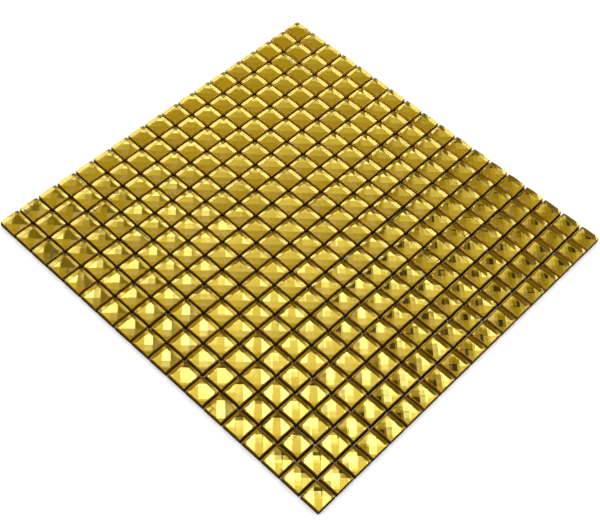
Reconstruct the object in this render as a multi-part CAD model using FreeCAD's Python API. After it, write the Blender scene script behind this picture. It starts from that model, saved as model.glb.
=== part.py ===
import FreeCAD, Part
import os

# Mosaic tile sheet: square mirror-glass chips with ground facets, on a square-meshed backing net.
# Millimetres, +Z up. The origin is the centre of the sheet's back, where the net meets the wall.
# The chips lie face up, their edges along X and Y.

# Chips
CHIPS_PER_SIDE = 18
CHIP_SIDE = 14.85
CHIP_THICKNESS = 5.4
JOINT_WIDTH = 1.9

# Facets of one chip: a square table on its corner in the middle, ground down a little towards the
# four sides and further towards the four corners
TABLE_DIAGONAL = 7.2
FACET_DROP = 0.36
CORNER_DROP = 0.5

# Backing net
NET_PITCH = 5.0
STRAND_WIDTH = 0.8
NET_THICKNESS = 0.4
NET_INSET = 1.0
NET_PANELS_PER_SIDE = 5

# What follows from them
CHIP_PITCH = CHIP_SIDE + JOINT_WIDTH
SHEET_SIDE = CHIPS_PER_SIDE * CHIP_PITCH - JOINT_WIDTH
CHIP_SEAT = NET_THICKNESS


def polygon_face(points):
    """A flat face with the given corners, each (x, y, z)."""
    corners = [FreeCAD.Vector(*point) for point in points]
    return Part.Face(Part.makePolygon(corners + corners[:1]))


def quarter_turns(points):
    """The same points turned about Z by none, one, two and three quarters."""
    for _ in range(4):
        yield points
        points = [(-y, x, z) for x, y, z in points]


def chip():
    """One chip, its back centred on the origin: 13 ground facets, four sides and a flat back."""
    half = CHIP_SIDE / 2
    reach = TABLE_DIAGONAL / 2
    rim = CHIP_THICKNESS - FACET_DROP
    low = rim - CORNER_DROP

    table_right = (reach, 0, CHIP_THICKNESS)
    table_far = (0, reach, CHIP_THICKNESS)
    rim_near = (half, reach - half, rim)
    rim_far = (half, half - reach, rim)
    rim_next = (half - reach, half, rim)
    corner = (half, half, low)
    corner_near = (half, -half, low)
    back = (half, half, 0)
    back_near = (half, -half, 0)

    table = [points[0] for points in quarter_turns([table_right])]
    underside = [points[0] for points in quarter_turns([back])]
    faces = [polygon_face(table), polygon_face(underside[::-1])]
    for outline in (
        [table_right, rim_near, rim_far],
        [table_right, rim_far, rim_next, table_far],
        [rim_far, corner, rim_next],
        [back_near, back, corner, rim_far, rim_near, corner_near],
    ):
        faces.extend(polygon_face(points) for points in quarter_turns(outline))
    return Part.Solid(Part.makeShell(faces))


def place_of(index):
    """Centre of a chip along X or Y, counted from the sheet's low edge."""
    return (index - (CHIPS_PER_SIDE - 1) / 2) * CHIP_PITCH


def chip_row(row):
    """A row of chips along X, as solids that don't touch."""
    pattern = chip()
    return Part.makeCompound([
        pattern.translated(FreeCAD.Vector(place_of(column), place_of(row), CHIP_SEAT))
        for column in range(CHIPS_PER_SIDE)
    ])


def net_strands():
    """Centre lines of the strands along one side, grouped by panel, with the places where panels meet."""
    reach = SHEET_SIDE / 2 - NET_INSET
    outermost = int((reach - STRAND_WIDTH / 2) / NET_PITCH)
    places = [number * NET_PITCH for number in range(-outermost, outermost + 1)]
    starts = [round(panel * len(places) / NET_PANELS_PER_SIDE) for panel in range(NET_PANELS_PER_SIDE + 1)]
    groups = [places[start:end] for start, end in zip(starts, starts[1:])]
    seams = [group[0] - NET_PITCH / 2 for group in groups[1:]]
    bounds = [-reach] + seams + [reach]
    return groups, bounds


def flat_wire(points):
    """A closed wire on the net's back plane, without points that repeat the one before."""
    corners = []
    for x, y in points:
        corner = FreeCAD.Vector(x, y, 0)
        if not corners or not corner.isEqual(corners[-1], 1e-6):
            corners.append(corner)
    if corners[0].isEqual(corners[-1], 1e-6):
        corners.pop()
    return Part.makePolygon(corners + corners[:1])


def net_panel(xs, ys, x_bounds, y_bounds):
    """Crossing strands at xs and ys as one piece, their free ends reaching to the bounds.

    The outline runs round the free ends, and each mesh between four strands is a window in it.
    """
    half = STRAND_WIDTH / 2
    left, right = x_bounds
    bottom, top = y_bounds
    low_x, high_x = xs[0] - half, xs[-1] + half
    low_y, high_y = ys[0] - half, ys[-1] + half

    outline = []
    for x in xs:
        outline += [(x - half, low_y), (x - half, bottom), (x + half, bottom), (x + half, low_y)]
    for y in ys:
        outline += [(high_x, y - half), (right, y - half), (right, y + half), (high_x, y + half)]
    for x in reversed(xs):
        outline += [(x + half, high_y), (x + half, top), (x - half, top), (x - half, high_y)]
    for y in reversed(ys):
        outline += [(low_x, y + half), (left, y + half), (left, y - half), (low_x, y - half)]

    wires = [flat_wire(outline)]
    for x, next_x in zip(xs, xs[1:]):
        for y, next_y in zip(ys, ys[1:]):
            near_y, far_y = y + half, next_y - half
            near_x, far_x = x + half, next_x - half
            wires.append(flat_wire([(near_x, near_y), (near_x, far_y), (far_x, far_y), (far_x, near_y)]))
    return Part.Face(wires).extrude(FreeCAD.Vector(0, 0, NET_THICKNESS))


os.makedirs("parts", exist_ok=True)

for row in range(CHIPS_PER_SIDE):
    chip_row(row).exportStep(f"parts/glass_chip_row_{row + 1:02d}.step")

groups, bounds = net_strands()
for i, xs in enumerate(groups):
    for j, ys in enumerate(groups):
        panel = net_panel(xs, ys, bounds[i:i + 2], bounds[j:j + 2])
        panel.exportStep(f"parts/backing_net_{i + 1}_{j + 1}.step")
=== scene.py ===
import math
import random
from typing import NamedTuple

import bmesh
import bpy
from bpy.props import FloatProperty, FloatVectorProperty, IntProperty, PointerProperty
from mathutils import Euler, Matrix, Vector


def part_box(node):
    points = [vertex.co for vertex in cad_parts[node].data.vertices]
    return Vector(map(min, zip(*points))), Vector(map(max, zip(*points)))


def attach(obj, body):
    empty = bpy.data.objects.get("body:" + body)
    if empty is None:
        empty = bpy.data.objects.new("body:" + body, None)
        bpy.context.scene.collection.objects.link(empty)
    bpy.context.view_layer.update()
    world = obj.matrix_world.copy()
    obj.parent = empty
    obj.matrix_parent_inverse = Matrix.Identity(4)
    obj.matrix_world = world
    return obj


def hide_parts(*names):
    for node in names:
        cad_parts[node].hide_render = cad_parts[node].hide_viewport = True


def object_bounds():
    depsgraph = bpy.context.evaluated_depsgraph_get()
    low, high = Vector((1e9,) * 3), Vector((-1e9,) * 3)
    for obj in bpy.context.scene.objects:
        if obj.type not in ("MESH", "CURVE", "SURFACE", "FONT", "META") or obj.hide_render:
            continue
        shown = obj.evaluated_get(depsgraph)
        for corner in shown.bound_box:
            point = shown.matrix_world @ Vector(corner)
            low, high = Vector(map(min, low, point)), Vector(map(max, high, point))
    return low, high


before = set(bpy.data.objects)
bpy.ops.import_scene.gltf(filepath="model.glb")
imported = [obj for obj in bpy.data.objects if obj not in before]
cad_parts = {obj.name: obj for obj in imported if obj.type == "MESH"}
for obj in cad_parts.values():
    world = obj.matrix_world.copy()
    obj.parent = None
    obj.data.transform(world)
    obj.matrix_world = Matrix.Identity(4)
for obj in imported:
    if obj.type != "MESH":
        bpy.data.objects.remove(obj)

bl_info = {
    "name": "Mosaic tile sheet",
    "version": (1, 0, 0),
    "blender": (4, 5, 0),
    "location": "View3D > Sidebar > Mosaic",
    "description": "Dresses a sheet of faceted mirror-glass chips on its fibre net and sets it in a studio",
    "category": "Object",
}

CAD_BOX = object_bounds()
CHIP_ROWS = sorted(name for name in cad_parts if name.startswith("glass_chip_row"))
NET_PANELS = sorted(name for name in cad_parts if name.startswith("backing_net"))

# Corners closer than this are one corner, and the same as decimals of a metre
WELD = 1e-6
WELD_DIGITS = 6
# Faces at a smaller angle to each other than this are one face
SAME_PLANE = math.radians(1)
# A face steeper than this is a cut side of the chip
STEEP = 0.5

# Share of the coat that is paint; the rest is the thin mirror between it and the glass
PAINT_SHARE = 0.8
# How unevenly the glue is squeezed out, as shares of its width
GLUE_SPREAD = (0.8, 1.1)

# Material slots of a chip
GLASS, SIDE, MIRROR, PAINT = range(4)

# Corners of a yarn's section, and how many sections it has from one strand to the next
YARN_SIDES = 6
FLAT_STEPS = 4
TWISTED_STEPS = 6
# Half heights of the yarns and the swing of a twisted pair, as shares of the net's thickness
FLAT_HALF_HEIGHT = 0.3
TWISTED_HALF_HEIGHT = 0.25
TWISTED_SWING = 0.25

GLASS_IOR = 1.52
# Height of the waves in a surface whose bump has strength 1
RIPPLE_HEIGHT = 0.0001
# Brightness of smeared fibre and of the floor's grain, as shares of their clean colours
SMEARED_FIBRE = 0.75
FLOOR_GRAIN = 0.99


class ChipSettings(bpy.types.PropertyGroup):
    arris: FloatProperty(
        name="Arris", description="Width of the polished strip along the outer edges of a chip's face",
        default=0.00018, min=0, subtype="DISTANCE", unit="LENGTH")
    worn_edge: FloatProperty(
        name="Worn edge", description="Width of the fine line that wears along every other edge",
        default=0.00003, min=0, subtype="DISTANCE", unit="LENGTH")
    tilt: FloatProperty(
        name="Tilt", description="Typical angle by which a chip sits off level on the net",
        default=math.radians(0.5), subtype="ANGLE", unit="ROTATION")
    turn: FloatProperty(
        name="Turn", description="Typical angle by which a chip is turned from its row",
        default=math.radians(0.25), subtype="ANGLE", unit="ROTATION")
    slip: FloatProperty(
        name="Slip", description="Typical distance by which a chip is out of its place",
        default=0.00006, min=0, subtype="DISTANCE", unit="LENGTH")
    grinding: FloatProperty(
        name="Grinding", description="Typical error in the height of a facet's corner",
        default=0.000015, min=0, subtype="DISTANCE", unit="LENGTH")
    coat: FloatProperty(
        name="Coat", description="Thickness of the mirror and the paint on the back and sides of a chip",
        default=0.00008, min=0, subtype="DISTANCE", unit="LENGTH")
    paint_height: FloatProperty(
        name="Paint height", description="How far up its sides a chip is painted",
        default=0.0024, min=0, subtype="DISTANCE", unit="LENGTH")
    # The squeezed-out glue is made in the dark back paint: glue and painted shade at the bottom of the joints
    glue_width: FloatProperty(
        name="Glue width", description="How far the glue is squeezed out at the foot of a chip",
        default=0.0007, min=0, subtype="DISTANCE", unit="LENGTH")
    glue_height: FloatProperty(
        name="Glue height", description="How far up a chip the squeezed-out glue stands",
        default=0.0006, min=0, subtype="DISTANCE", unit="LENGTH")
    gold: FloatVectorProperty(
        name="Gold", description="Colour of the mirror coat",
        default=(0.95, 0.72, 0.1), min=0, max=1, subtype="COLOR")
    paint: FloatVectorProperty(
        name="Back paint", description="Colour of the paint over the mirror coat",
        default=(0.05, 0.024, 0.004), min=0, max=1, subtype="COLOR")
    seed: IntProperty(name="Seed", description="Draws another set of tilts and tones", default=7)


class NetSettings(bpy.types.PropertyGroup):
    pitch: FloatProperty(
        name="Pitch", description="Distance from strand to strand",
        default=0.005, min=0.001, subtype="DISTANCE", unit="LENGTH")
    width: FloatProperty(
        name="Strand width", description="Width of a strand between crossings",
        default=0.0008, min=0.0001, subtype="DISTANCE", unit="LENGTH")
    pinch: FloatProperty(
        name="Pinch", description="Share of its width that a strand loses where it is bound at a crossing",
        default=0.25, min=0, max=0.9, subtype="FACTOR")
    fibre: FloatVectorProperty(
        name="Fibre", description="Colour of the coated fibre",
        default=(0.16, 0.14, 0.16), min=0, max=1, subtype="COLOR")


class StudioSettings(bpy.types.PropertyGroup):
    azimuth: FloatProperty(
        name="Azimuth", description="Where the camera stands, from +X towards +Y",
        default=math.radians(-143.744), subtype="ANGLE", unit="ROTATION")
    elevation: FloatProperty(
        name="Elevation", description="How high the camera stands over the aim point",
        default=math.radians(54.098), subtype="ANGLE", unit="ROTATION")
    distance: FloatProperty(
        name="Distance", description="From the camera to the aim point",
        default=0.80942, subtype="DISTANCE", unit="LENGTH")
    roll: FloatProperty(
        name="Roll", description="Turn of the camera about its line of sight",
        default=math.radians(8.518), subtype="ANGLE", unit="ROTATION")
    aim: FloatVectorProperty(
        name="Aim", description="The point on the floor that the camera looks at",
        default=(-0.022855, -0.015641, 0), subtype="TRANSLATION", unit="LENGTH")
    lens: FloatProperty(
        name="Lens", description="Focal length on a 36 mm sensor",
        default=69.99, subtype="DISTANCE_CAMERA", unit="CAMERA")
    floor: FloatVectorProperty(
        name="Floor", description="Colour of the floor",
        default=(0.92, 0.92, 0.92), min=0, max=1, subtype="COLOR")
    floor_light: FloatProperty(
        name="Floor light", description="Strength of the light that falls on matt surfaces",
        default=1.6, min=0)


class SoftPanel(NamedTuple):
    """A rectangle of light or shade around the sheet. Its place, turn, half sizes and edge are in degrees."""
    name: str
    azimuth: float
    elevation: float
    turn: float
    half_width: float
    half_height: float
    edge: float
    brightness: float
    colour: tuple


LAMP_WHITE = (1.0, 1.0, 1.0)
DAYLIGHT = (0.93, 1.0, 1.8)
ROOM_CREAM = (1.0, 0.81, 0.13)
CEILING_WHITE = (1.0, 0.96, 0.85)
# Brightness of the room straight up and at the height of the sheet
OVERHEAD = 0.95
LEVEL = 0.25
# Least depth that a panel's mask divides by
LEAST_DEPTH = 0.001
# The floor as the glass mirrors it, half its width and how far it lies below the sheet
MIRRORED_FLOOR = (0.05, 0.04, 0.02)
FLOOR_REACH = 4.0
FLOOR_GAP = 0.0002
# The camera's sensor, in millimetres, and the nearest that it sees
SENSOR_WIDTH = 36
NEAREST_SEEN = 0.01

LOW_LIGHTS = tuple(
    SoftPanel(f"{side} low light", azimuth, 12, 0, 42, 13, 6, 0.85, CEILING_WHITE)
    for side, azimuth in (("far", 36), ("left", 126), ("near", 216), ("right", 306)))
# Each panel is laid over the ones before it
STUDIO_PANELS = (
    SoftPanel("far wall", 38, 31, 20, 34, 20, 8, 0.4, ROOM_CREAM),
    *LOW_LIGHTS,
    SoftPanel("right wall", 325, 64, 7, 11, 25, 2, 0.36, ROOM_CREAM),
    SoftPanel("left wall", 90, 63, -24, 10, 4.5, 2, 0.67, LAMP_WHITE),
    SoftPanel("ceiling glow", 130, 77, -78, 14, 8.5, 3, 2.6, DAYLIGHT),
    SoftPanel("first lamp", 49.5, 62, 0, 3.2, 5.2, 1.5, 2.0, DAYLIGHT),
    SoftPanel("second lamp", 25, 62, 0, 3, 5.4, 1.5, 2.2, DAYLIGHT),
    SoftPanel("lamp arm", 64, 80, 31, 8, 5.5, 1.5, 0.05, ROOM_CREAM),
    SoftPanel("lamp clamp", 40, 71, -34, 2, 4.2, 1, 0.04, ROOM_CREAM),
    SoftPanel("lamp stand", 64.5, 54.5, 0, 3, 4, 1, 0.08, ROOM_CREAM),
    SoftPanel("camera side", 212, 56, 25, 42, 10.5, 8, 0.11, ROOM_CREAM),
    SoftPanel("dark corner", 166, 60, 15, 11, 24, 5, 0.17, ROOM_CREAM),
    SoftPanel("side light", 186, 42, -18, 9, 2.2, 0.5, 1.9, DAYLIGHT),
    SoftPanel("left window", 135, 44.5, 10, 13.5, 7, 1.5, 1.55, DAYLIGHT),
    SoftPanel("right window", 313, 47, -8, 15, 6.3, 1.5, 1.5, DAYLIGHT),
    SoftPanel("right corner", 345, 38, -15, 8, 16, 3, 0.31, ROOM_CREAM),
    SoftPanel("right shade", 18, 51, 0, 4, 11, 3, 0.31, ROOM_CREAM),
    SoftPanel("window post", 19, 54.5, 0, 1.8, 2.3, 0.8, 0.04, ROOM_CREAM),
    SoftPanel("left shade", 146, 65, -20, 12, 7, 4, 0.14, ROOM_CREAM),
    SoftPanel("left strip", 64, 64, -15, 4, 11.4, 3, 0.2, ROOM_CREAM),
    SoftPanel("ceiling shade", 40, 80, -64, 9, 6.4, 4, 0.06, ROOM_CREAM),
    SoftPanel("left bay", 81, 48, 15, 12, 6, 4, 0.52, LAMP_WHITE),
)


def set_inputs(tree, node, inputs):
    """Sets or wires a node's inputs, by name or number."""
    for name, value in inputs.items():
        if isinstance(value, bpy.types.NodeSocket):
            tree.links.new(value, node.inputs[name])
        else:
            node.inputs[name].default_value = value


def add_node(tree, kind, inputs=None, **settings):
    """A shader node with its settings and its inputs."""
    made = tree.nodes.new("ShaderNode" + kind)
    for name, value in settings.items():
        setattr(made, name, value)
    set_inputs(tree, made, inputs or {})
    return made


def add_group(tree, group, inputs):
    """A node group placed in a tree."""
    return add_node(tree, "Group", inputs, node_tree=group)


def mixed(tree, factor, first, second):
    """A colour between two others."""
    mix = add_node(tree, "Mix", {"Factor": factor, "A": first, "B": second}, data_type="RGBA")
    return mix.outputs["Result"]


def worked_out(tree, operation, *values):
    """The result of one step of arithmetic."""
    return add_node(tree, "Math", dict(enumerate(values)), operation=operation).outputs[0]


def dot(tree, first, second):
    """The dot product of two vectors."""
    return add_node(tree, "VectorMath", {0: first, 1: second}, operation="DOT_PRODUCT").outputs["Value"]


def object_place(tree):
    """Where a point lies on its object, in metres."""
    return add_node(tree, "TexCoord").outputs["Object"]


def new_group(name, inputs, outputs):
    """An empty shader node group with its sockets, each (kind, default) by name, and its end nodes."""
    group = bpy.data.node_groups.new(name, "ShaderNodeTree")
    for title, (kind, default) in inputs.items():
        socket = group.interface.new_socket(title, in_out="INPUT", socket_type="NodeSocket" + kind)
        socket.default_value = default
    for title, kind in outputs.items():
        group.interface.new_socket(title, in_out="OUTPUT", socket_type="NodeSocket" + kind)
    return group, group.nodes.new("NodeGroupInput").outputs, group.nodes.new("NodeGroupOutput").inputs


def rgba(colour):
    """A colour as a socket takes it, with full alpha."""
    return (*colour, 1)


def lit(brightness, colour):
    """A colour at some brightness, as a socket takes it."""
    return rgba([brightness * part for part in colour])


def new_material(name):
    """A material with its tree and its Principled node."""
    material = bpy.data.materials.new(name)
    material.use_nodes = True
    return material, material.node_tree, material.node_tree.nodes["Principled BSDF"]


def ripple_group():
    """Fine waves and smears that polishing, cutting and handling leave on a surface."""
    group, given, out = new_group(
        "ripple_and_smears",
        {"Scale": ("Float", 300.0), "Smear Scale": ("Float", 90.0),
         "Clean": ("Float", 0.0), "Smeared": ("Float", 0.05)},
        {"Height": "Float", "Roughness": "Float", "Smear": "Float"})
    place_on = object_place(group)
    wave = add_node(group, "TexNoise", {"Vector": place_on, "Scale": given["Scale"], "Detail": 2.0})
    smear = add_node(group, "TexNoise", {
        "Vector": place_on, "Scale": given["Smear Scale"], "Detail": 3.0, "Distortion": 0.6})
    mask = add_node(group, "MapRange", {
        "Value": smear.outputs["Fac"], "From Min": 0.45, "From Max": 0.75}).outputs["Result"]
    rough = add_node(group, "Mix", {"Factor": mask, "A": given["Clean"], "B": given["Smeared"]})
    group.links.new(wave.outputs["Fac"], out["Height"])
    group.links.new(rough.outputs["Result"], out["Roughness"])
    group.links.new(mask, out["Smear"])
    return group


def tone_group():
    """A colour made lighter or darker chip by chip, with faint clouds inside each chip."""
    group, given, out = new_group(
        "chip_tone",
        {"Colour": ("Color", (0.5, 0.5, 0.5, 1)),
         "Chip Spread": ("Float", 0.1), "Cloud Spread": ("Float", 0.05)},
        {"Colour": "Color"})
    tone = add_node(group, "Attribute", attribute_name="tone").outputs["Fac"]
    cloud = add_node(group, "TexNoise", {"Vector": object_place(group), "Scale": 180.0, "Detail": 2.0})
    by_chip = worked_out(group, "MULTIPLY", tone, given["Chip Spread"])
    centred = worked_out(group, "SUBTRACT", cloud.outputs["Fac"], 0.5)
    by_place = worked_out(group, "MULTIPLY_ADD", centred, given["Cloud Spread"], by_chip)
    value = worked_out(group, "ADD", by_place, 1.0)
    toned = add_node(group, "VectorMath", {0: given["Colour"], "Scale": value}, operation="SCALE")
    group.links.new(toned.outputs["Vector"], out["Colour"])
    return group


def smeared_colour(tree, wear, clean, smeared):
    """The colour of a surface that is clean in places and smeared in others."""
    return mixed(tree, wear.outputs["Smear"], rgba(clean), rgba(smeared))


def rippled_normal(tree, wear, strength):
    """The direction of a surface with fine waves."""
    bump = add_node(tree, "Bump", {
        "Height": wear.outputs["Height"], "Strength": strength, "Distance": RIPPLE_HEIGHT})
    return bump.outputs["Normal"]


def glass_material(ripple):
    """Clear polished glass of the facets, with the faint film that handling leaves."""
    material, tree, surface = new_material("facet_glass")
    wear = add_group(tree, ripple, {"Scale": 120.0, "Smear Scale": 70.0})
    set_inputs(tree, surface, {
        "Base Color": smeared_colour(tree, wear, (0.98, 0.99, 0.98), (0.95, 0.955, 0.94)),
        "Transmission Weight": 1,
        "IOR": GLASS_IOR,
        "Roughness": 0,
        "Specular Tint": rgba((0.25, 0.25, 0.25)),
        "Normal": rippled_normal(tree, wear, 0.01)})
    return material


def side_material(ripple):
    """The cut sides: glass with a brown tint painted in for the gold and the paint that it mirrors."""
    material, tree, surface = new_material("cut_side")
    wear = add_group(tree, ripple, {"Scale": 900.0, "Smear Scale": 400.0})
    set_inputs(tree, surface, {
        # The brown is a painted reflection of the gold and the paint around the side; the darker smears are
        # handling marks
        "Base Color": smeared_colour(tree, wear, (0.95, 0.54, 0.06), (0.82, 0.46, 0.05)),
        "Transmission Weight": 0.75,
        "IOR": GLASS_IOR,
        "Roughness": 0,
        "Normal": rippled_normal(tree, wear, 0.06)})
    return material


def mirror_material(ripple, tone, gold):
    """The gold mirror coat on the back of the glass."""
    material, tree, surface = new_material("gold_mirror")
    wear = add_group(tree, ripple, {"Scale": 250.0})
    colour = add_group(tree, tone, {"Colour": rgba(gold), "Chip Spread": 0.06, "Cloud Spread": 0.05})
    set_inputs(tree, surface, {
        "Base Color": colour.outputs["Colour"],
        "Metallic": 1,
        "Roughness": 0,
        "Normal": rippled_normal(tree, wear, 0.02)})
    return material


def paint_material(ripple, tone, paint):
    """The dark paint that protects the mirror coat."""
    material, tree, surface = new_material("back_paint")
    wear = add_group(tree, ripple, {"Scale": 2200.0, "Smear Scale": 300.0, "Clean": 0.18, "Smeared": 0.4})
    colour = add_group(tree, tone, {"Colour": rgba(paint), "Chip Spread": 0.25, "Cloud Spread": 0.6})
    set_inputs(tree, surface, {
        "Base Color": colour.outputs["Colour"],
        "Roughness": wear.outputs["Roughness"],
        "Specular IOR Level": 0.25,
        "Normal": rippled_normal(tree, wear, 0.15)})
    return material


def fibre_material(ripple, fibre):
    """Coated yarn, with the filaments showing faintly through the coat."""
    material, tree, surface = new_material("coated_fibre")
    wear = add_group(tree, ripple, {"Scale": 3500.0, "Smear Scale": 900.0, "Clean": 0.45, "Smeared": 0.7})
    set_inputs(tree, surface, {
        "Base Color": smeared_colour(tree, wear, fibre, [SMEARED_FIBRE * part for part in fibre]),
        "Roughness": wear.outputs["Roughness"],
        "Normal": rippled_normal(tree, wear, 0.6)})
    return material


def shared_group(name, make):
    """A node group by its name, made the first time it is asked for."""
    return bpy.data.node_groups.get(name) or make()


def cad_solids(name):
    """A node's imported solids, with the triangles of each flat face merged."""
    solids = bmesh.new()
    solids.from_mesh(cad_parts[name].data)
    bmesh.ops.remove_doubles(solids, verts=solids.verts, dist=WELD)
    bmesh.ops.dissolve_limit(solids, angle_limit=SAME_PLANE, verts=solids.verts, edges=solids.edges)
    solids.verts.index_update()
    solids.faces.index_update()
    return solids


def copied(faces):
    """Some faces as a mesh of their own."""
    made = bmesh.new()
    corners = {}
    for face in faces:
        for vertex in face.verts:
            if vertex not in corners:
                corners[vertex] = made.verts.new(vertex.co)
        copy = made.faces.new([corners[vertex] for vertex in face.verts])
        copy.material_index = face.material_index
    made.normal_update()
    return made


def single_chips(solids):
    """Each separate solid as a mesh of its own, from low X to high X."""
    parts = []
    seen = set()
    for start in solids.verts:
        if start.index in seen:
            continue
        seen.add(start.index)
        part = [start]
        for vertex in part:
            for edge in vertex.link_edges:
                other = edge.other_vert(vertex)
                if other.index not in seen:
                    seen.add(other.index)
                    part.append(other)
        parts.append(part)
    chips = []
    for part in sorted(parts, key=lambda part: sum(vertex.co.x for vertex in part) / len(part)):
        faces = {face for vertex in part for face in vertex.link_faces}
        chips.append(copied(sorted(faces, key=lambda face: face.index)))
    return chips


def extent(chip):
    """The lowest and highest corner of a chip."""
    return tuple(
        Vector([pick(vertex.co[axis] for vertex in chip.verts) for axis in range(3)]) for pick in (min, max))


def name_faces(chip):
    """Tells a chip's back, its sides and its face apart."""
    for face in chip.faces:
        if face.normal.z < -STEEP:
            face.material_index = MIRROR
        elif face.normal.z < STEEP:
            face.material_index = SIDE
        else:
            face.material_index = GLASS


def make_paint(mesh):
    """Turns the faces of a closed mesh outwards and makes them all paint."""
    bmesh.ops.recalc_face_normals(mesh, faces=mesh.faces)
    for face in mesh.faces:
        face.material_index = PAINT


def paint_shell(chip, settings):
    """A closed skin of paint over the back and the lower part of the sides, as a mesh of its own."""
    shell = copied([face for face in chip.faces if face.material_index != GLASS])
    floor = min(vertex.co.z for vertex in shell.verts)
    for vertex in shell.verts:
        if vertex.co.z > floor + WELD:
            vertex.co.z = floor + settings.paint_height
    shell.normal_update()
    bmesh.ops.solidify(shell, geom=shell.faces, thickness=PAINT_SHARE * settings.coat)
    make_paint(shell)
    return shell


def glue_and_shade_ring(chip, settings, room, draw):
    """The glue that is squeezed out round the foot of a chip, as a closed ring inside the sheet's room, in
    the dark back paint: glue and painted shade at the bottom of the joints.
    """
    low, high = extent(chip)
    ring = bmesh.new()
    turns = []
    inside = -settings.coat / 2
    for reach, height in ((inside, 0), (settings.glue_width, 0), (inside, settings.glue_height)):
        turn = []
        for x_side, y_side in ((0, 0), (1, 0), (1, 1), (0, 1)):
            outward = reach * (draw.uniform(*GLUE_SPREAD) if reach > 0 else 1)
            corner = (
                (low.x - outward, high.x + outward)[x_side],
                (low.y - outward, high.y + outward)[y_side])
            held = [min(max(corner[axis], room[0][axis]), room[1][axis]) for axis in range(2)]
            turn.append(ring.verts.new((*held, low.z + height)))
        turns.append(turn)
    for turn, following in zip(turns, turns[1:] + turns[:1]):
        for corner in range(4):
            after = (corner + 1) % 4
            ring.faces.new((turn[corner], turn[after], following[after], following[corner]))
    # The glue takes the dark back paint, so that it darkens the bottom of the joints as painted shade
    make_paint(ring)
    return ring


def place_in_plan(vertex):
    """Where a corner lies in plan, rounded so that order doesn't hang on the last digits."""
    return round(vertex.co.x, WELD_DIGITS), round(vertex.co.y, WELD_DIGITS)


def grind(chip, settings, draw):
    """Takes the glass in by its coat, and gives each facet corner its small error in height."""
    low, high = extent(chip)
    table_error = draw.gauss(0, settings.grinding)
    for vertex in sorted(chip.verts, key=place_in_plan):
        if vertex.co.z < low.z + WELD:
            vertex.co.z += settings.coat
        elif vertex.co.z > high.z - WELD:
            vertex.co.z += table_error
        else:
            vertex.co.z += draw.gauss(0, settings.grinding)
        for axis in range(2):
            if vertex.co[axis] < low[axis] + WELD:
                vertex.co[axis] += settings.coat
            elif vertex.co[axis] > high[axis] - WELD:
                vertex.co[axis] -= settings.coat


def bevel(chip, edges, width, **finish):
    """Cuts a flat strip along some edges of a chip."""
    bmesh.ops.bevel(
        chip, geom=edges, offset=width, offset_type="OFFSET", segments=1, profile=0.5,
        affect="EDGES", clamp_overlap=True, **finish)


def finish_edges(chip, settings):
    """Grinds the outer edges of a chip's face and takes the sharpness off all other edges."""
    rim = [edge for edge in chip.edges
           if {face.material_index for face in edge.link_faces} == {GLASS, SIDE}]
    bevel(chip, rim, settings.arris, material=GLASS)
    sharp = [edge for edge in chip.edges if edge.calc_face_angle(0) > 2 * SAME_PLANE]
    bevel(chip, sharp, settings.worn_edge)


def settle(chip, settings, room, draw):
    """Sets a chip a little askew, inside the room that the sheet takes up."""
    low, high = extent(chip)
    centre = (low + high) / 2
    askew = Euler((draw.gauss(0, settings.tilt), draw.gauss(0, settings.tilt), draw.gauss(0, settings.turn)))
    slip = Vector((draw.gauss(0, settings.slip), draw.gauss(0, settings.slip), 0))
    turned = askew.to_matrix().to_4x4()
    chip.transform(Matrix.Translation(centre + slip) @ turned @ Matrix.Translation(-centre))
    low, high = extent(chip)
    back = [max(room[0][axis] - low[axis], 0) - max(high[axis] - room[1][axis], 0) for axis in range(3)]
    chip.transform(Matrix.Translation(back))
    for vertex in chip.verts:
        vertex.co.z = max(vertex.co.z, room[0].z)


def add_to(whole, piece):
    """Moves a working mesh into another one, and returns the faces that it brought."""
    before = len(whole.faces)
    carrier = finished("carrier", piece)
    whole.from_mesh(carrier)
    bpy.data.meshes.remove(carrier)
    whole.faces.ensure_lookup_table()
    return whole.faces[before:]


def finished(name, shape):
    """A mesh from its working mesh, which is freed."""
    mesh = bpy.data.meshes.new(name)
    shape.to_mesh(mesh)
    shape.free()
    return mesh


def chip_row(name, settings, draw):
    """One row of chips as a mesh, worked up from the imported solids."""
    solids = cad_solids(name)
    row = bmesh.new()
    tone = row.faces.layers.float.new("tone")
    for chip in single_chips(solids):
        name_faces(chip)
        shell = paint_shell(chip, settings)
        glue_and_shade = glue_and_shade_ring(chip, settings, CAD_BOX, draw)
        grind(chip, settings, draw)
        finish_edges(chip, settings)
        add_to(chip, shell)
        add_to(chip, glue_and_shade)
        settle(chip, settings, CAD_BOX, draw)
        value = draw.uniform(-1, 1)
        for face in add_to(row, chip):
            face[tone] = value
    solids.free()
    return finished(name.replace("glass_", ""), row)


def strand_places(low, high, settings):
    """Centre lines of the strands that lie between two bounds."""
    half = settings.width / 2
    first = math.ceil((low + half) / settings.pitch - WELD)
    last = math.floor((high - half) / settings.pitch + WELD)
    return [number * settings.pitch for number in range(first, last + 1)]


def add_yarn(net, points, across, sections):
    """A closed yarn through some points. Each section holds its half width and half height."""
    rings = []
    for point, (half_width, half_height) in zip(points, sections):
        ring = []
        for side in range(YARN_SIDES):
            angle = math.tau * side / YARN_SIDES
            offset = across * (half_width * math.cos(angle)) + Vector((0, 0, half_height * math.sin(angle)))
            ring.append(net.verts.new(point + offset))
        rings.append(ring)
    for ring, following in zip(rings, rings[1:]):
        for side in range(YARN_SIDES):
            after = (side + 1) % YARN_SIDES
            net.faces.new((ring[side], ring[after], following[after], following[side]))
    net.faces.new(rings[0][::-1])
    net.faces.new(rings[-1])


def yarn_stations(low, high, pitch, steps):
    """Places along a yarn, evenly spaced within each mesh, with its two cut ends."""
    spacing = pitch / steps
    first = math.ceil(low / spacing + WELD)
    last = math.floor(high / spacing - WELD)
    return [low] + [number * spacing for number in range(first, last + 1)] + [high]


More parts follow.
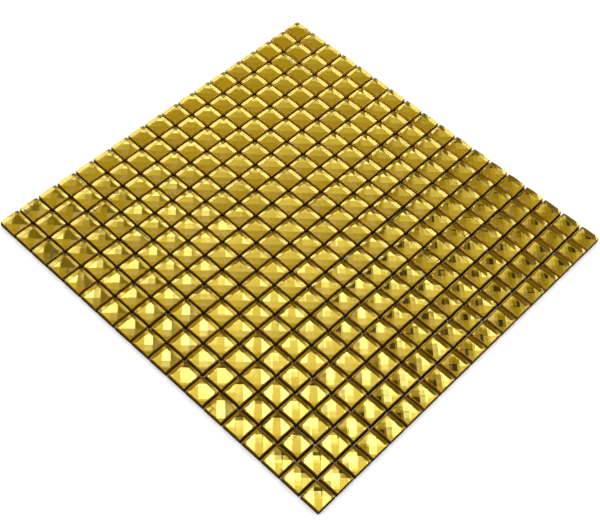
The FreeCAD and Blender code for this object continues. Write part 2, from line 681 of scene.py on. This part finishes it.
def flat_strands(net, low, high, settings):
    """The strands along X: flat bundles, drawn in a little where they are bound."""
    middle = (low.z + high.z) / 2
    half_height = (high.z - low.z) * FLAT_HALF_HEIGHT
    for y in strand_places(low.y, high.y, settings):
        points = []
        sections = []
        for x in yarn_stations(low.x, high.x, settings.pitch, FLAT_STEPS):
            bound = 0.5 + 0.5 * math.cos(math.tau * x / settings.pitch)
            points.append(Vector((x, y, middle)))
            sections.append((settings.width / 2 * (1 - settings.pinch * bound), half_height))
        add_yarn(net, points, Vector((0, 1, 0)), sections)


def twisted_strands(net, low, high, settings):
    """The strands along Y: pairs of yarns that cross over between meshes and hold the flat strands."""
    middle = (low.z + high.z) / 2
    swing = (high.z - low.z) * TWISTED_SWING
    half_width = settings.width / 4
    half_height = (high.z - low.z) * TWISTED_HALF_HEIGHT
    for x in strand_places(low.x, high.x, settings):
        stations = yarn_stations(low.y, high.y, settings.pitch, TWISTED_STEPS)
        for side in (-1, 1):
            points = []
            for y in stations:
                turn = math.pi * y / settings.pitch
                aside = side * half_width * math.sin(turn)
                raised = side * swing * math.cos(turn)
                points.append(Vector((x + aside, y, middle + raised)))
            add_yarn(net, points, Vector((1, 0, 0)), [(half_width, half_height)] * len(points))


def net_panel(name, settings):
    """One panel of the net as woven yarns."""
    low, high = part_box(name)
    net = bmesh.new()
    flat_strands(net, low, high, settings)
    twisted_strands(net, low, high, settings)
    bmesh.ops.recalc_face_normals(net, faces=net.faces)
    for face in net.faces:
        face.smooth = len(face.verts) == 4
    return finished(name.replace("backing", "woven"), net)


def place(mesh, materials, node):
    """Puts a finished mesh in the scene in place of its node."""
    for material in materials:
        mesh.materials.append(material)
    piece = bpy.data.objects.new(mesh.name, mesh)
    bpy.context.scene.collection.objects.link(piece)
    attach(piece, "root")
    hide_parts(node)


def aim_vectors(azimuth, elevation, turn):
    """The direction of a place around the sheet, and the two directions across it."""
    outward = math.cos(elevation)
    facing = Vector((outward * math.cos(azimuth), outward * math.sin(azimuth), math.sin(elevation)))
    level = Vector((-math.sin(azimuth), math.cos(azimuth), 0))
    upright = facing.cross(level)
    across = level * math.cos(turn) + upright * math.sin(turn)
    along = upright * math.cos(turn) - level * math.sin(turn)
    return facing, across, along


def panel_group():
    """Lays a soft-edged rectangle of light or shade over what is around it."""
    group, given, out = new_group(
        "soft_panel",
        {"Direction": ("Vector", (0, 0, 1)),
         "Around": ("Color", (1, 1, 1, 1)), "Light": ("Color", (1, 1, 1, 1)),
         "Facing": ("Vector", (0, 0, 1)), "Across": ("Vector", (1, 0, 0)), "Along": ("Vector", (0, 1, 0)),
         "Half Width": ("Float", 0.1), "Half Height": ("Float", 0.1), "Edge": ("Float", 0.02)},
        {"Light": "Color"})
    ahead = dot(group, given["Direction"], given["Facing"])
    depth = worked_out(group, "MAXIMUM", ahead, LEAST_DEPTH)
    masks = []
    for axis, half in (("Across", "Half Width"), ("Along", "Half Height")):
        offset = worked_out(group, "DIVIDE", dot(group, given["Direction"], given[axis]), depth)
        inner = worked_out(group, "SUBTRACT", given[half], given["Edge"])
        outer = worked_out(group, "ADD", given[half], given["Edge"])
        masks.append(add_node(group, "MapRange", {
            "Value": worked_out(group, "ABSOLUTE", offset), "From Min": inner, "From Max": outer,
            "To Min": 1.0, "To Max": 0.0}, interpolation_type="SMOOTHSTEP").outputs["Result"])
    front = worked_out(group, "GREATER_THAN", ahead, 0.0)
    mask = worked_out(group, "MULTIPLY", worked_out(group, "MULTIPLY", *masks), front)
    group.links.new(mixed(group, mask, given["Around"], given["Light"]), out["Light"])
    return group


def studio_world(settings):
    """What surrounds the sheet: a pale room with its lamps, and a plain backdrop for the camera."""
    world = bpy.data.worlds.new("studio")
    world.use_nodes = True
    tree = world.node_tree
    direction = add_node(tree, "TexCoord").outputs["Generated"]
    height = add_node(tree, "SeparateXYZ", {"Vector": direction}).outputs["Z"]
    light = mixed(tree, height, lit(LEVEL, ROOM_CREAM), lit(OVERHEAD, CEILING_WHITE))
    group = shared_group("soft_panel", panel_group)
    for panel in STUDIO_PANELS:
        place_around = (panel.azimuth, panel.elevation, panel.turn)
        facing, across, along = aim_vectors(*[math.radians(angle) for angle in place_around])
        laid = add_group(tree, group, {
            "Direction": direction, "Around": light, "Light": lit(panel.brightness, panel.colour),
            "Facing": facing, "Across": across, "Along": along,
            "Half Width": math.tan(math.radians(panel.half_width)),
            "Half Height": math.tan(math.radians(panel.half_height)),
            "Edge": math.tan(math.radians(panel.edge))})
        laid.label = panel.name
        light = laid.outputs["Light"]
    ray = add_node(tree, "LightPath").outputs
    on_matt = mixed(tree, ray["Is Diffuse Ray"], light, lit(settings.floor_light, LAMP_WHITE))
    seen = mixed(tree, ray["Is Camera Ray"], on_matt, lit(1, LAMP_WHITE))
    tree.links.new(seen, tree.nodes["Background"].inputs["Color"])
    return world


def floor_material(colour):
    """A pale, slightly uneven floor that the glass mirrors as a dark one."""
    material, tree, surface = new_material("studio_floor")
    grain = add_node(tree, "TexNoise", {"Vector": object_place(tree), "Scale": 6.0, "Detail": 2.0})
    shade = mixed(tree, grain.outputs["Fac"], rgba(colour), lit(FLOOR_GRAIN, colour))
    seen = add_node(tree, "LightPath").outputs["Is Camera Ray"]
    set_inputs(tree, surface, {
        "Base Color": mixed(tree, seen, rgba(MIRRORED_FLOOR), shade),
        "Roughness": 0.8,
        "Specular IOR Level": 0.0})
    return material


def studio_floor(settings):
    """The floor just under the sheet."""
    mesh = bpy.data.meshes.new("studio_floor")
    corners = [(x * FLOOR_REACH, y * FLOOR_REACH, 0) for x, y in ((-1, -1), (1, -1), (1, 1), (-1, 1))]
    mesh.from_pydata(corners, [], [(0, 1, 2, 3)])
    mesh.materials.append(floor_material(settings.floor))
    floor = bpy.data.objects.new("studio_floor", mesh)
    bpy.context.scene.collection.objects.link(floor)
    floor.location.z = -FLOOR_GAP


def studio_camera(settings):
    """The camera at the photo's viewing angle."""
    facing, level, upright = aim_vectors(settings.azimuth, settings.elevation, 0)
    turn = Matrix((level, upright, facing)).transposed().to_4x4()
    camera = bpy.data.objects.new("camera", bpy.data.cameras.new("camera"))
    camera.data.sensor_width = SENSOR_WIDTH
    camera.data.lens = settings.lens
    camera.data.clip_start = NEAREST_SEEN
    where = Vector(settings.aim) + facing * settings.distance
    camera.matrix_world = Matrix.Translation(where) @ turn @ Matrix.Rotation(settings.roll, 4, "Z")
    bpy.context.scene.collection.objects.link(camera)
    bpy.context.scene.camera = camera


class MOSAIC_OT_chips(bpy.types.Operator):
    """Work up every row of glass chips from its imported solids"""
    bl_idname = "mosaic.chips"
    bl_label = "Glass chips"

    def execute(self, context):
        settings = context.scene.mosaic_chips
        ripple = shared_group("ripple_and_smears", ripple_group)
        tone = shared_group("chip_tone", tone_group)
        materials = [
            glass_material(ripple),
            side_material(ripple),
            mirror_material(ripple, tone, settings.gold),
            paint_material(ripple, tone, settings.paint),
        ]
        draw = random.Random(settings.seed)
        for name in CHIP_ROWS:
            place(chip_row(name, settings, draw), materials, name)
        return {"FINISHED"}


class MOSAIC_OT_net(bpy.types.Operator):
    """Weave the backing net, panel by panel"""
    bl_idname = "mosaic.net"
    bl_label = "Backing net"

    def execute(self, context):
        settings = context.scene.mosaic_net
        fibre = fibre_material(shared_group("ripple_and_smears", ripple_group), settings.fibre)
        for name in NET_PANELS:
            place(net_panel(name, settings), [fibre], name)
        return {"FINISHED"}


class MOSAIC_OT_studio(bpy.types.Operator):
    """Set up the floor, the surroundings and the camera"""
    bl_idname = "mosaic.studio"
    bl_label = "Studio"

    def execute(self, context):
        settings = context.scene.mosaic_studio
        studio_floor(settings)
        studio_camera(settings)
        context.scene.world = studio_world(settings)
        context.scene.view_settings.view_transform = "Standard"
        return {"FINISHED"}


class MOSAIC_PT_panel(bpy.types.Panel):
    """The steps that dress the sheet, and their sizes and colours"""
    bl_idname = "MOSAIC_PT_panel"
    bl_label = "Mosaic tile sheet"
    bl_space_type = "VIEW_3D"
    bl_region_type = "UI"
    bl_category = "Mosaic"

    def draw(self, context):
        for step, owner in zip(STEPS, OWNERS):
            box = self.layout.box()
            box.operator(step.bl_idname)
            settings = getattr(context.scene, owner)
            for title in settings.__annotations__:
                box.prop(settings, title)


STEPS = (MOSAIC_OT_chips, MOSAIC_OT_net, MOSAIC_OT_studio)
OWNERS = {"mosaic_chips": ChipSettings, "mosaic_net": NetSettings, "mosaic_studio": StudioSettings}


def register():
    for made in (*OWNERS.values(), *STEPS, MOSAIC_PT_panel):
        bpy.utils.register_class(made)
    for owner, settings in OWNERS.items():
        setattr(bpy.types.Scene, owner, PointerProperty(type=settings))


def unregister():
    for owner in OWNERS:
        delattr(bpy.types.Scene, owner)
    for made in (MOSAIC_PT_panel, *reversed(STEPS), *reversed(OWNERS.values())):
        bpy.utils.unregister_class(made)


def main():
    register()
    bpy.ops.mosaic.chips()
    bpy.ops.mosaic.net()
    bpy.ops.mosaic.studio()


if __name__ == "__main__":
    main()
